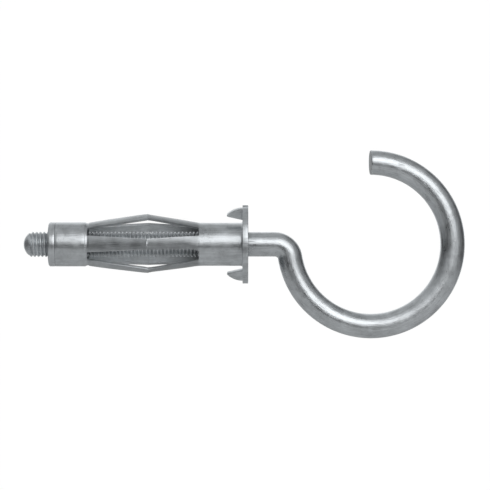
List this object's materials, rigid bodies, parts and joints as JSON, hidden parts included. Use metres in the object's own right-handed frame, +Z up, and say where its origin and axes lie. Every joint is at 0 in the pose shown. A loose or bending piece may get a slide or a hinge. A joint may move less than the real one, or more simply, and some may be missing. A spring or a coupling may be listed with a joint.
{
  "type": "metal hollow wall anchor",
  "caption": "Zinc-plated hollow wall anchor: slotted sleeve with pre-bent legs, toothed flange and end nut, fitted with a screw-in open round hook.",
  "frame": {"origin": "centre of the flange's wall face, on the anchor's axis", "axes": "+X along the anchor's axis out of the wall toward the hook, +Z up toward the hook's tip, +Y away from the viewer"},
  "size_m": [0.0882, 0.0158, 0.0376],
  "materials": {
    "zinc_sleeve": "bright zinc plating on formed sheet steel, satin with fine mottling",
    "zinc_nut": "zinc plating on turned steel, satin",
    "zinc_hook": "bright zinc plating on steel wire, satin"
  },
  "bodies": {
    "anchor": {"sleeve": "zinc_sleeve", "nut": "zinc_nut"},
    "screw_hook": {"hook": "zinc_hook"}
  },
  "joints": [
    {"name": "hook_turn", "type": "hinge", "parent": "anchor", "child": "screw_hook", "pos_m": [0, 0, 0], "axis": [1, 0, 0], "continuous": true}
  ]
}
